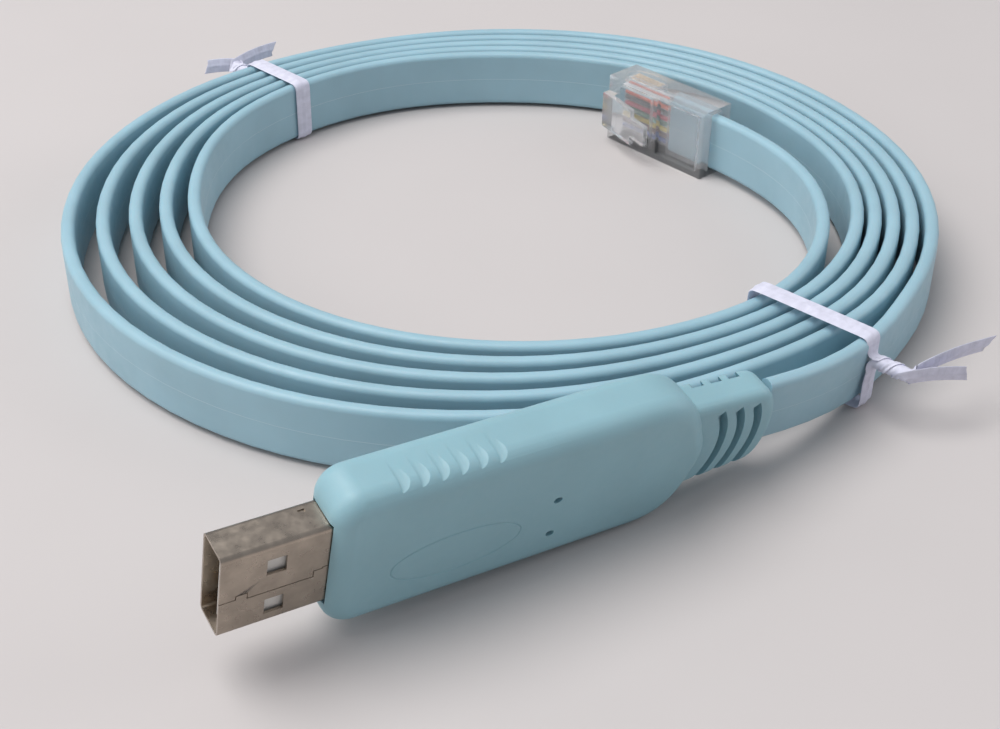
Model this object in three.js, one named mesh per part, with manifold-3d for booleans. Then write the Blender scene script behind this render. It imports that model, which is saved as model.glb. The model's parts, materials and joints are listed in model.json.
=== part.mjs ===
// Console cable: a USB-A plug in a moulded housing, a flat eight-wire cable wound standing on
// its edge in a loose spiral, an RJ45 plug on the inner end, and two paper twist ties.
// Millimetres, +Z up. The cable stands on the floor plane Z = 0.

import * as THREE from 'three';
import { mergeVertices } from 'three/addons/utils/BufferGeometryUtils.js';
import Module from 'manifold-3d';

const wasm = await Module();
wasm.setup();

const DEG = Math.PI / 180;

// Clearances
const fitGap = 0.3; // between a piece and the pocket or neighbour that holds it
const seatGap = 0.05; // under a small metal piece lying on plastic
const tieClearance = 0.15; // between a twist tie and the cable that it wraps

// Flat cable
const cableWidth = 9.6; // stands upright
const cableThickness = 2.0;
const cableEdgeRadius = 0.85;

// Coil, seen from above: angles run anticlockwise from +X about the coil's centre
const laps = 5.2606; // turns from the RJ45 plug out to the USB plug
const plugAngle = 33.2; // where the cable comes out of the RJ45 plug, in degrees
const stepAngle = 10; // one straight piece of the modelled cable, in degrees
// Radius of the turns carried back to turn zero, every 30 degrees from +X
const coreRadius = [50.3, 49.1, 48.3, 47.7, 48.8, 47.9, 44.8, 43.8, 43.3, 43.7, 45.75, 48.87];
// Gap between one turn and the next at the same places: tight at the ties, open on the left
const turnGap = [0.65, 0.75, 0.75, 0.6, 0.35, 1.15, 2.38, 2.75, 2.5, 1.85, 0.92, 0.75];
const sway = 0.8; // how far the middle turns lean inwards where the coil is open
const plugRunIn = 7.3; // how far the inner end curves in to its plug
const plugRunInAngle = 83;
const usbFlare = 4.2; // how far the outer end stands off to its plug
const usbFlareAngle = 32;
const usbFlareSteadiness = 0.1; // how much of the flare's average slope is left at the plug
const usbRiseAngle = 27; // over which the outer end rises to its plug

// RJ45 plug
const rjLength = 21.46;
const rjThickness = 6.6;
const rjWall = 0.79; // beside the cable
const rjWireLength = 11.2; // bare insulated wires ahead of the jacket
const rjNoseWall = 1.2;
const rjWirePitch = 1.02;
const rjWireDiameter = 0.82;
const rjWireCount = 8;
const rjBladeLength = 6.0;
const rjBladeThickness = 0.32;
const rjBladeSlot = 0.6;
const rjBladeSink = 0.45; // below the plug's face
const rjLatchRootLength = 2.2;
const rjLatchStand = 1.5; // how far the latch's root stands off the plug's face
const rjLatchLength = 12.5;
const rjLatchRise = 4.6; // of the latch's free end above the plug's face
const rjLatchThickness = 1.0;
const rjLatchWidth = 6.2;
const rjLatchTipWidth = 3.4;
const rjLatchTipLength = 4.0;

// USB-A plug
const shellWidth = 12.0; // upright
const shellThickness = 4.5;
const shellSheet = 0.3;
const shellCorner = 0.7;
const shellExposed = 12.0;
const shellInserted = 4.0;
const windowSize = 2.2;
const windowSpacing = 6.0;
const windowSetback = 6.2; // centre of the windows behind the mouth
const tongueThickness = 1.9;
const tongueSetback = 1.0;
const tongueBlockLength = 6.5; // the thick block behind the contacts
const contactWidth = 1.0;
const contactThickness = 0.25;
const contactInset = 1.0; // outer contacts behind the tongue's front edge
const contactStagger = 1.0; // inner contacts further back still
const contactCentres = [-3.5, -1.0, 1.0, 3.5];

// Moulded housing and its strain relief
const housingLength = 50.0;
const housingHeight = 19.6;
const housingThickness = 7.7;
const housingEdge = 2.3; // rounding of the long edges
const housingFrontCorner = 3.4;
const housingRearCorner = 6.6;
const housingRearBulge = 3.4; // of the arched rear end
const reliefLength = 10.3;
const reliefStartHeight = 13.6;
const reliefWall = 1.1; // above and below the cable at the relief's end
const reliefEndBulge = 1.8; // of the arched end
const reliefThickness = 5.2;
const reliefEdge = 1.3;
const reliefCorner = 2.2;
const reliefOverlap = 4.0; // the relief runs this far into the housing
const reliefSlotCount = 3;
const reliefSlotWidth = 1.2;
const reliefSlotPitch = 2.6;
const reliefSlotFirst = 1.9; // centre of the first slot behind the housing's rear end
const reliefSlotDepth = 1.5;
const reliefSlotRadius = 9.0; // each slot is an arch
const reliefSlotMargin = 1.9; // left uncut at the slot's closed end
const cutMargin = 0.4; // how far a cut runs past the surface that it opens
const gripCount = 6;
const gripFirst = 7.8; // centre of the first groove behind the front face
const gripPitch = 2.35;
const gripWidth = 0.95;
const gripDepth = 0.5;
const gripReach = 3.4; // down the wide faces
const lampHoleSetback = 27.9;
const lampHoleSpacing = 5.4;
const lampHoleDrop = 2.2; // of both holes below the middle
const lampHoleRadius = 0.5;
const lampHoleDepth = 1.0;
const usbLean = 11; // degrees, its upper edge towards the front
const usbTilt = 3.4; // degrees, its shell's mouth higher than the cable's end

// Twist ties
const tieThickness = 0.35;
const tieWidth = 3.0;
const tieKnotRadius = 1.0;
const tieKnotLength = 5.0;
const tieTailWidth = 2.4;
const frontTieAngle = -43;
const rearTieAngle = 135;
const frontTails = [{ length: 13.0, heading: 28 }, { length: 8.0, heading: 11 }];
const rearTails = [{ length: 8.0, heading: 40 }];

// Worked out from the values above
const cableLift = tieThickness + tieClearance; // the ties pass under the cable
const cableMiddle = cableLift + cableWidth / 2;
const turned = laps * 360;
const rjWidth = cableWidth + 2 * (fitGap + rjWall);
const rjMiddle = rjWidth / 2;
const rjJacketLength = rjLength - rjNoseWall - rjWireLength;
const reliefEndHeight = cableWidth + 2 * reliefWall;

const cableBlue = 0x8fc3d4;
const materials = {
  cable: new THREE.MeshStandardMaterial({ color: cableBlue, roughness: 0.5 }),
  housing: new THREE.MeshStandardMaterial({ color: 0x84bac6, roughness: 0.55 }),
  steel: new THREE.MeshStandardMaterial({ color: 0xa39a90, roughness: 0.3, metalness: 1 }),
  white: new THREE.MeshStandardMaterial({ color: 0xdedcd6, roughness: 0.6 }),
  gold: new THREE.MeshStandardMaterial({ color: 0xc9a24a, roughness: 0.3, metalness: 1 }),
  clear: new THREE.MeshStandardMaterial({
    color: 0xe6e8ea, roughness: 0.1, transparent: true, opacity: 0.4,
  }),
  tie: new THREE.MeshStandardMaterial({ color: 0xcfcfe2, roughness: 0.8 }),
};
const wireColours = [0x2f4f9e, 0x6a3d2a, 0xd9c23a, 0x2f6b4a, 0xb8263a, 0x1c1c20, 0xcf5a32, 0xc9c9c9];

// Solids

function solidOf(geometry) {
  const bare = geometry.clone();
  bare.deleteAttribute('normal');
  bare.deleteAttribute('uv');
  const merged = mergeVertices(bare, 1e-5);
  return new wasm.Manifold(new wasm.Mesh({
    numProp: 3,
    vertProperties: Float32Array.from(merged.attributes.position.array),
    triVerts: Uint32Array.from(merged.index.array),
  }));
}

function geometryOf(solid) {
  const mesh = solid.getMesh();
  const geometry = new THREE.BufferGeometry();
  geometry.setAttribute('position', new THREE.BufferAttribute(mesh.vertProperties, 3));
  geometry.setIndex(new THREE.BufferAttribute(mesh.triVerts, 1));
  geometry.computeVertexNormals();
  return geometry;
}

function box(lengthX, lengthY, lengthZ, x, y, z) {
  return new THREE.BoxGeometry(lengthX, lengthY, lengthZ).translate(x, y, z);
}

function cut(geometry, cutters) {
  return geometryOf(cutters.reduce((rest, cutter) => rest.subtract(solidOf(cutter)), solidOf(geometry)));
}

function join(geometries) {
  return geometryOf(geometries.map(solidOf).reduce((sum, next) => sum.add(next)));
}

function node(name, geometry, material) {
  const mesh = new THREE.Mesh(geometry, material);
  mesh.name = name;
  return mesh;
}

// A rectangle with round corners, centred, in a shape's own x and y
function roundedRectangle(across, up, radius, Kind = THREE.Shape) {
  const x = across / 2;
  const y = up / 2;
  const shape = new Kind();
  shape.moveTo(-x + radius, -y);
  shape.lineTo(x - radius, -y);
  shape.absarc(x - radius, -y + radius, radius, -Math.PI / 2, 0);
  shape.lineTo(x, y - radius);
  shape.absarc(x - radius, y - radius, radius, 0, Math.PI / 2);
  shape.lineTo(-x + radius, y);
  shape.absarc(-x + radius, y - radius, radius, Math.PI / 2, Math.PI);
  shape.lineTo(-x, -y + radius);
  shape.absarc(-x + radius, -y + radius, radius, Math.PI, Math.PI * 1.5);
  return shape;
}

// Extrudes a shape drawn in Y and Z along +X, from x to x + length
function extrudeAlongX(shape, x, length, curveSegments = 3) {
  const geometry = new THREE.ExtrudeGeometry(shape, {
    depth: length, bevelEnabled: false, curveSegments,
  });
  // The shape's x becomes Y, its y becomes Z and its depth becomes X
  geometry.applyMatrix4(new THREE.Matrix4().makeBasis(
    new THREE.Vector3(0, 1, 0), new THREE.Vector3(0, 0, 1), new THREE.Vector3(1, 0, 0),
  ));
  return geometry.translate(x, 0, 0);
}

// Extrudes a shape drawn in X and Z across Y, centred on Y = 0, its edges rounded by edge
function extrudeAcrossY(shape, thickness, edge, curveSegments, edgeSegments = 3) {
  const geometry = new THREE.ExtrudeGeometry(shape, {
    depth: thickness - 2 * edge,
    bevelEnabled: edge > 0,
    bevelSize: edge,
    bevelThickness: edge,
    bevelOffset: -edge,
    bevelSegments: edgeSegments,
    curveSegments,
  });
  geometry.rotateX(Math.PI / 2);
  return geometry.translate(0, thickness / 2 - edge, 0);
}

// Route of the cable

// Value at an angle from a list of values spaced evenly round the circle
function roundTheCoil(values) {
  const ring = new THREE.CatmullRomCurve3(
    values.map((value) => new THREE.Vector3(value, 0, 0)), true, 'catmullrom',
  );
  return (angle) => ring.getPoint(THREE.MathUtils.euclideanModulo(angle, 360) / 360).x;
}

const coreAt = roundTheCoil(coreRadius);
const gapAt = roundTheCoil(turnGap);
const widestGap = Math.max(...turnGap);

// Grows smoothly from 0 to 1 over the last stretch before an end of the route, and is still
// growing there at slope times the average rate
function settle(distance, stretch, slope) {
  const t = THREE.MathUtils.clamp(1 - distance / stretch, 0, 1);
  return t ** 2 * (3 - 2 * t) - slope * t ** 2 * (1 - t);
}

// A point of the coil, by the angle turned since the cable left the RJ45 plug
function coilPoint(angleTurned, usbHeight) {
  const angle = plugAngle - angleTurned;
  const turn = angleTurned / 360;
  const gap = gapAt(angle);
  const left = turned - angleTurned;
  const radius = coreAt(angle) + (cableThickness + gap) * turn
    - sway * (gap / widestGap) * Math.sin(Math.PI * turn / laps)
    - plugRunIn * settle(angleTurned, plugRunInAngle, 1)
    + usbFlare * settle(left, usbFlareAngle, usbFlareSteadiness);
  const height = cableMiddle
    + (rjMiddle - cableMiddle) * settle(angleTurned, plugRunInAngle, 0)
    + (usbHeight - cableMiddle) * settle(left, usbRiseAngle, 1);
  return new THREE.Vector3(
    radius * Math.cos(angle * DEG), radius * Math.sin(angle * DEG), height,
  );
}

const coilSteps = Math.round(turned / stepAngle);

// Straight inside the RJ45 plug for one step, then round the coil by equal angles
class CableRoute extends THREE.Curve {
  constructor(usbHeight) {
    super();
    this.usbHeight = usbHeight;
    this.steps = coilSteps + 1;
    this.plugEnd = coilPoint(0, usbHeight);
    const next = coilPoint(1, usbHeight);
    this.intoPlug = this.plugEnd.clone().sub(next).setZ(0).normalize();
  }

  getPoint(t, target = new THREE.Vector3()) {
    const step = t * this.steps;
    if (step < 1) {
      return target.copy(this.plugEnd).addScaledVector(this.intoPlug, (1 - step) * rjJacketLength);
    }
    return target.copy(coilPoint((step - 1) * turned / coilSteps, this.usbHeight));
  }

  getUtoTmapping(u) {
    return u;
  }

  // Centre of the modelled cable, which is straight between its steps, at a turned angle
  stepPoint(angleTurned) {
    const place = angleTurned / (turned / coilSteps);
    const before = Math.floor(place);
    const after = Math.min(before + 1, coilSteps);
    const at = (index) => coilPoint(index * turned / coilSteps, this.usbHeight);
    return at(before).lerp(at(after), place - before);
  }
}

// Pieces

function cablePiece(route) {
  const section = roundedRectangle(cableWidth, cableThickness, cableEdgeRadius);
  return new THREE.ExtrudeGeometry(section, {
    steps: route.steps, extrudePath: route, bevelEnabled: false, curveSegments: 1,
  });
}

// USB plug: +X runs from the shell's mouth to the cable, +Z is up, and the seamed wide face
// looks along -Y. The origin is the middle of the strain relief's end.

const housingFront = -(reliefLength + housingLength);
const housingRear = -reliefLength;
const shellMouth = housingFront - shellExposed;
const shellBack = housingFront + shellInserted;

// Outline in X and Z of the housing, which has an arched rear end
function housingOutline() {
  const front = housingFront;
  const rear = housingRear;
  const top = housingHeight / 2;
  const straightEnd = rear - housingRearBulge - housingRearCorner;
  const cornerX = rear - housingRearBulge / 2;
  const cornerZ = top - housingRearCorner;
  const outline = new THREE.Shape();
  outline.moveTo(front, -top + housingFrontCorner);
  outline.quadraticCurveTo(front, -top, front + housingFrontCorner, -top);
  outline.lineTo(straightEnd, -top);
  outline.quadraticCurveTo(rear - housingRearBulge, -top, cornerX, -cornerZ);
  outline.quadraticCurveTo(rear, 0, cornerX, cornerZ);
  outline.quadraticCurveTo(rear - housingRearBulge, top, straightEnd, top);
  outline.lineTo(front + housingFrontCorner, top);
  outline.quadraticCurveTo(front, top, front, top - housingFrontCorner);
  return outline;
}

// Outline in X and Z of the strain relief, from inside the housing to its arched end
function reliefOutline() {
  const start = housingRear - housingRearBulge - reliefOverlap;
  const startTop = reliefStartHeight / 2;
  const endTop = reliefEndHeight / 2;
  const outline = new THREE.Shape();
  outline.moveTo(start, -startTop);
  outline.lineTo(-reliefEndBulge - reliefCorner, -endTop);
  outline.quadraticCurveTo(-reliefEndBulge, -endTop, -reliefEndBulge / 2, -endTop + reliefCorner);
  outline.quadraticCurveTo(reliefEndBulge / 4, 0, -reliefEndBulge / 2, endTop - reliefCorner);
  outline.quadraticCurveTo(-reliefEndBulge, endTop, -reliefEndBulge - reliefCorner, endTop);
  outline.lineTo(start, startTop);
  return outline;
}

// Cuts one grip groove round a narrow side and over both its edges
function gripCutter(index, side) {
  const setback = gripFirst + index * gripPitch;
  const top = housingHeight / 2;
  const reachZ = top - gripReach;
  const outside = housingThickness;
  const shape = new THREE.Shape();
  shape.moveTo(-outside, reachZ);
  shape.lineTo(-housingThickness / 2, reachZ);
  shape.quadraticCurveTo(-housingThickness / 2, top - gripDepth, 0, top - gripDepth);
  shape.quadraticCurveTo(housingThickness / 2, top - gripDepth, housingThickness / 2, reachZ);
  shape.lineTo(outside, reachZ);
  shape.lineTo(outside, top + housingThickness);
  shape.lineTo(-outside, top + housingThickness);
  const cutter = extrudeAlongX(shape, housingFront + setback - gripWidth / 2, gripWidth, 5);
  return side > 0 ? cutter : cutter.rotateX(Math.PI);
}

// Cuts one arched slot into a wide face of the strain relief. On the near face the slots run
// out at the bottom edge, and on the far face at the top edge.
function slotCutter(index, side) {
  const middle = housingRear + reliefSlotFirst + index * reliefSlotPitch;
  const share = (middle - housingRear) / reliefLength;
  const half = THREE.MathUtils.lerp(reliefStartHeight, reliefEndHeight, share) / 2;
  const closed = Math.asin((half - reliefSlotMargin) / reliefSlotRadius);
  const open = Math.asin((half + cutMargin) / reliefSlotRadius);
  const centreX = middle - reliefSlotRadius;
  const outer = reliefSlotRadius + reliefSlotWidth / 2;
  const inner = reliefSlotRadius - reliefSlotWidth / 2;
  const shape = new THREE.Shape();
  shape.absarc(centreX, 0, outer, -open, closed, false);
  shape.absarc(centreX, 0, inner, closed, -open, true);
  const reach = reliefThickness;
  const geometry = new THREE.ExtrudeGeometry(shape, {
    depth: reach, bevelEnabled: false, curveSegments: 6,
  });
  geometry.rotateX(Math.PI / 2).translate(0, -reliefThickness / 2 + reliefSlotDepth, 0);
  return side > 0 ? geometry : geometry.rotateX(Math.PI);
}

function housingPiece() {
  const body = extrudeAcrossY(housingOutline(), housingThickness, housingEdge, 5);
  const relief = extrudeAcrossY(reliefOutline(), reliefThickness, reliefEdge, 3, 2);
  const pocketDepth = shellInserted + fitGap;
  const cutters = [
    box(
      pocketDepth * 2, shellThickness + 2 * fitGap, shellWidth + 2 * fitGap,
      housingFront, 0, 0,
    ),
  ];
  for (const side of [1, -1]) {
    for (let index = 0; index < gripCount; index += 1) {
      cutters.push(gripCutter(index, side));
    }
    for (let index = 0; index < reliefSlotCount; index += 1) {
      cutters.push(slotCutter(index, side));
    }
    const hole = new THREE.CylinderGeometry(lampHoleRadius, lampHoleRadius, 2 * lampHoleDepth, 10);
    cutters.push(hole.translate(
      housingFront + lampHoleSetback, -housingThickness / 2,
      side * lampHoleSpacing / 2 - lampHoleDrop,
    ));
  }
  return cut(join([body, relief]), cutters);
}

function shellPiece() {
  const outline = roundedRectangle(shellThickness, shellWidth, shellCorner);
  outline.holes.push(roundedRectangle(
    shellThickness - 2 * shellSheet, shellWidth - 2 * shellSheet,
    shellCorner - shellSheet, THREE.Path,
  ));
  const tube = extrudeAlongX(outline, shellMouth, shellExposed + shellInserted);
  const windows = [1, -1].map((side) => box(
    windowSize, 2 * shellThickness, windowSize,
    shellMouth + windowSetback, 0, side * windowSpacing / 2,
  ));
  return cut(tube, windows);
}

const tongueNear = -(shellThickness / 2 - shellSheet - fitGap);
const tongueFront = shellMouth + tongueSetback;
const blockFront = shellBack - tongueBlockLength;

function tonguePiece() {
  const height = shellWidth - 2 * (shellSheet + fitGap);
  const blockFar = -tongueNear;
  const outline = new THREE.Shape();
  outline.moveTo(tongueFront, tongueNear);
  outline.lineTo(shellBack, tongueNear);
  outline.lineTo(shellBack, blockFar);
  outline.lineTo(blockFront, blockFar);
  outline.lineTo(blockFront, tongueNear + tongueThickness);
  outline.lineTo(tongueFront, tongueNear + tongueThickness);
  const geometry = new THREE.ExtrudeGeometry(outline, { depth: height, bevelEnabled: false });
  return geometry.translate(0, 0, -height / 2);
}

function usbContactPiece(centre) {
  const inner = Math.abs(centre) < Math.max(...contactCentres);
  const start = tongueFront + contactInset + (inner ? contactStagger : 0);
  const end = blockFront - fitGap;
  return box(
    end - start, contactThickness, contactWidth, (start + end) / 2,
    tongueNear + tongueThickness + seatGap + contactThickness / 2, centre,
  );
}

function usbPlug() {
  const plug = new THREE.Group();
  plug.add(node('usb_housing', housingPiece(), materials.housing));
  plug.add(node('usb_shell', shellPiece(), materials.steel));
  plug.add(node('usb_tongue', tonguePiece(), materials.white));
  contactCentres.forEach((centre, index) => {
    plug.add(node(`usb_contact_${index + 1}`, usbContactPiece(centre), materials.gold));
  });
  return plug;
}

// RJ45 plug: +X runs from the cable's entry to the nose, +Y is the latch side and +Z is up.
// The origin is the middle of the entry's face.

const rjWireHeight = (index) => (index - (rjWireCount - 1) / 2) * rjWirePitch;
const rjContactFace = -rjThickness / 2;
const rjNoseSetback = rjNoseWall + rjBladeLength; // of the blades' rear ends

function latchOutline() {
  const face = rjThickness / 2;
  const root = rjLength - rjLatchRootLength;
  const tip = rjLength - rjLatchLength;
  const outline = new THREE.Shape();
  outline.moveTo(rjLength, face - rjLatchThickness);
  outline.lineTo(rjLength, face + rjLatchStand);
  outline.lineTo(root, face + rjLatchStand + rjLatchThickness / 2);
  outline.lineTo(tip, face + rjLatchRise);
  outline.lineTo(tip, face + rjLatchRise - rjLatchThickness);
  outline.lineTo(root, face + rjLatchStand - rjLatchThickness / 2);
  outline.lineTo(root, face - rjLatchThickness);
  return outline;
}

function latchPiece() {
  const lever = new THREE.ExtrudeGeometry(latchOutline(), {
    depth: rjLatchWidth, bevelEnabled: false,
  }).translate(0, 0, -rjLatchWidth / 2);
  const trim = (rjLatchWidth - rjLatchTipWidth) / 2;
  const tip = rjLength - rjLatchLength;
  const sides = [1, -1].map((side) => box(
    2 * rjLatchTipLength, 4 * rjLatchRise, 2 * trim,
    tip, rjThickness / 2 + rjLatchRise, side * rjLatchWidth / 2,
  ));
  return cut(lever, sides);
}

function rjBodyPiece() {
  const block = box(rjLength, rjThickness, rjWidth, rjLength / 2, 0, 0);
  const jacketRoom = rjJacketLength + fitGap;
  const wireRoom = rjLength - rjNoseWall;
  const wiresHeight = rjWireCount * rjWirePitch;
  const cutters = [
    box(
      2 * jacketRoom, cableThickness + 2 * fitGap, cableWidth + 2 * fitGap, 0, 0, 0,
    ),
    box(wireRoom, rjWireDiameter + 2 * fitGap, wiresHeight, wireRoom / 2, 0, 0),
  ];
  for (let index = 0; index < rjWireCount; index += 1) {
    cutters.push(box(
      rjBladeLength + 2 * fitGap, rjThickness / 2, rjBladeSlot,
      rjLength - rjNoseSetback + rjBladeLength / 2, rjContactFace + rjThickness / 4,
      rjWireHeight(index),
    ));
  }
  return cut(join([block, latchPiece()]), cutters);
}

function rjBladePiece(index) {
  const low = rjContactFace + rjBladeSink;
  const high = -(rjWireDiameter / 2 + seatGap);
  return box(
    rjBladeLength, high - low, rjBladeThickness,
    rjLength - rjNoseSetback + rjBladeLength / 2, (low + high) / 2, rjWireHeight(index),
  );
}

function rjWirePiece(index) {
  const length = rjWireLength - 2 * fitGap;
  const wire = new THREE.CylinderGeometry(rjWireDiameter / 2, rjWireDiameter / 2, length, 10);
  wire.rotateZ(Math.PI / 2);
  return wire.translate(rjJacketLength + fitGap + length / 2, 0, rjWireHeight(index));
}

function rjPlug() {
  const plug = new THREE.Group();
  plug.add(node('rj45_body', rjBodyPiece(), materials.clear));
  for (let index = 0; index < rjWireCount; index += 1) {
    const colour = new THREE.MeshStandardMaterial({ color: wireColours[index], roughness: 0.5 });
    plug.add(node(`rj45_wire_${index + 1}`, rjWirePiece(index), colour));
    plug.add(node(`rj45_blade_${index + 1}`, rjBladePiece(index), materials.gold));
  }
  return plug;
}

// Twist tie: +X runs along the turns, clockwise, +Y points away from the coil's centre
// and +Z is up. The origin is on the floor under the middle of the turns.

function tailPiece(tail, turn, start, height) {
  const half = tieTailWidth / 2;
  const outline = new THREE.Shape();
  outline.moveTo(-half, -half);
  outline.lineTo(tail.length - half, -half);
  outline.lineTo(tail.length, half);
  outline.lineTo(-half, half);
  const geometry = new THREE.ExtrudeGeometry(outline, { depth: tieThickness, bevelEnabled: false });
  geometry.translate(0, 0, -tieThickness / 2).rotateX(Math.PI / 2);
  return geometry.rotateZ(turn * DEG).translate(0, start, height);
}

function tiePiece(bundle, top, tails, tieHeading) {
  const across = bundle + 2 * tieClearance;
  const up = top + tieClearance - tieThickness;
  const inside = roundedRectangle(across, up, cableEdgeRadius, THREE.Path);
  const outside = roundedRectangle(
    across + 2 * tieThickness, up + 2 * tieThickness, cableEdgeRadius + tieThickness,
  );
  outside.holes.push(inside);
  const band = extrudeAlongX(outside, -tieWidth / 2, tieWidth, 2)
    .translate(0, 0, tieThickness + up / 2);
  const face = across / 2;
  const height = cableMiddle + cableWidth / 4;
  const knot = new THREE.CylinderGeometry(tieKnotRadius, tieKnotRadius, tieKnotLength, 8);
  knot.translate(0, face + tieKnotLength / 2 + tieThickness / 4, height);
  const ends = tails.map((tail) => tailPiece(
    tail, tail.heading - tieHeading, face + tieKnotLength, height,
  ));
  return join([band, knot, ...ends]);
}

// Puts a tie round every turn that passes an angle
function placeTie(name, angle, tails, route) {
  const outwards = new THREE.Vector3(Math.cos(angle * DEG), Math.sin(angle * DEG), 0);
  const reaches = [];
  const tops = [];
  const first = THREE.MathUtils.euclideanModulo(plugAngle - angle, 360);
  for (let at = first; at <= turned; at += 360) {
    // The turns bend within the tie's width
    for (const side of [-1, 0, 1]) {
      const sideways = side * tieWidth / 2 / coreAt(angle) / DEG;
      const point = route.stepPoint(at + sideways);
      reaches.push(point.dot(outwards));
      tops.push(point.z + cableWidth / 2);
    }
  }
  const innermost = Math.min(...reaches) - cableThickness / 2;
  const outermost = Math.max(...reaches) + cableThickness / 2;
  const tieHeading = angle - 90;
  const band = tiePiece(outermost - innermost, Math.max(...tops), tails, tieHeading);
  const tie = node(name, band, materials.tie);
  tie.position.copy(outwards).multiplyScalar((innermost + outermost) / 2);
  tie.rotation.z = tieHeading * DEG;
  return tie;
}

// Assembly

const usb = usbPlug();
usb.rotation.set(usbLean * DEG, usbTilt * DEG, 0, 'ZYX');
usb.updateMatrixWorld(true);
const usbLowest = new THREE.Box3().setFromObject(usb, true).min.z;
const route = new CableRoute(-usbLowest);

const usbEnd = route.getPoint(1);
const usbAlong = route.getTangent(1).negate();
usb.rotation.z = Math.atan2(usbAlong.y, usbAlong.x);
usb.position.copy(usbEnd).addScaledVector(usbAlong.setZ(0).normalize(), -fitGap);

const rj = rjPlug();
rj.position.copy(route.plugEnd);
rj.rotation.z = Math.atan2(route.intoPlug.y, route.intoPlug.x);

const cableAssembly = new THREE.Group();
cableAssembly.add(node('flat_cable', cablePiece(route), materials.cable));
cableAssembly.add(usb, rj);
cableAssembly.add(placeTie('twist_tie_front', frontTieAngle, frontTails, route));
cableAssembly.add(placeTie('twist_tie_rear', rearTieAngle, rearTails, route));

// The origin is on the floor under the middle of the whole object
cableAssembly.updateMatrixWorld(true);
const extent = new THREE.Box3().setFromObject(cableAssembly, true);
const centre = extent.getCenter(new THREE.Vector3());
cableAssembly.position.set(-centre.x, -centre.y, -extent.min.z);

const part = new THREE.Group();
part.add(cableAssembly);
part.updateMatrixWorld(true);

export default part;
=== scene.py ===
import json
import math

import bpy
import numpy as np
from mathutils import Matrix, Vector

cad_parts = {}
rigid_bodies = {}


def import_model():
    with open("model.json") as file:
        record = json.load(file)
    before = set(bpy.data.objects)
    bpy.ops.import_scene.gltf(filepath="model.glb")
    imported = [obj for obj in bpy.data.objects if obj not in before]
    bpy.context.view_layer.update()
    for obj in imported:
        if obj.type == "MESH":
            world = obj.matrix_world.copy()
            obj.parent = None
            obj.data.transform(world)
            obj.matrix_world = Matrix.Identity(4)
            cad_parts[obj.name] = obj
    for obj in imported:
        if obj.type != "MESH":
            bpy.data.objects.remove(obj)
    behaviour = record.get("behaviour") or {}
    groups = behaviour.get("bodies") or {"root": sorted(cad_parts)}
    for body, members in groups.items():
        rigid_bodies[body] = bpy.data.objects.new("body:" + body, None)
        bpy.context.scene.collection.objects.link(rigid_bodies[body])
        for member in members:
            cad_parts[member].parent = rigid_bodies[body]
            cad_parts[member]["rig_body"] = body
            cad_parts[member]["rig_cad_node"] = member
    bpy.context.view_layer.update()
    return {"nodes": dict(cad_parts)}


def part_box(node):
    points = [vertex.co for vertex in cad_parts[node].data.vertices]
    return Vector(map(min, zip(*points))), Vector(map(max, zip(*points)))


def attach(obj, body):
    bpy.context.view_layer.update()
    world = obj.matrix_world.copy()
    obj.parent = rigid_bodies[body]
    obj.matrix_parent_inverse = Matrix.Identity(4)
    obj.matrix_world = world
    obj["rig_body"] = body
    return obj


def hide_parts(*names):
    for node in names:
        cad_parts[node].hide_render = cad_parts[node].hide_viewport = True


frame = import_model()

# Each piece is shaped in millimetres in its own plug's or tie's frame, then set in place in metres
MM = 0.001

# Flat cable and its coil, as in the part's source
CABLE_WIDTH = 9.6
CABLE_THICKNESS = 2.0
CABLE_EDGE = 0.85
LAPS = 5.2606
PLUG_ANGLE = 33.2
CORE_RADIUS = [50.3, 49.1, 48.3, 47.7, 48.8, 47.9, 44.8, 43.8, 43.3, 43.7, 45.75, 48.87]
TURN_GAP = [0.65, 0.75, 0.75, 0.6, 0.35, 1.15, 2.38, 2.75, 2.5, 1.85, 0.92, 0.75]
SWAY = 0.8
PLUG_RUN_IN = 7.3
PLUG_RUN_IN_ANGLE = 83
USB_FLARE = 4.2
USB_FLARE_ANGLE = 32
USB_FLARE_STEADINESS = 0.1
USB_RISE_ANGLE = 27
TURNED = LAPS * 360
USB_LEAN_ANGLE = 40
CABLE_MIDDLE = 5.3
RINGS_IN_PLUG = 3
RING_STEP = 4.0
INTO_RELIEF = 1.2
PARTING_LINE_SHARE = 0.0009

# RJ45 plug
RJ_LENGTH = 21.46
RJ_THICKNESS = 6.6
RJ_WIDTH = 11.78
RJ_NOSE_WALL = 1.2
RJ_WIRE_LENGTH = 11.2
RJ_JACKET_LENGTH = RJ_LENGTH - RJ_NOSE_WALL - RJ_WIRE_LENGTH
FIT_GAP = 0.3
MERGE_DISTANCE = 0.002

# Recesses on the RJ45 plug's latch side and the low oval boss on its upper narrow side
WIRES_RECESS = (7.0, 2.4, 9.0)
WIRES_RECESS_MIDDLE = 15.4
JACKET_RECESS = (9.0, 1.8, 9.8)
JACKET_RECESS_MIDDLE = 5.8
BOSS_MIDDLE = (15.6, 0.2, RJ_WIDTH / 2)
BOSS_HALVES = (4.2, 2.2, 1)
BOSS_THICKNESS = 0.5

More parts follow.
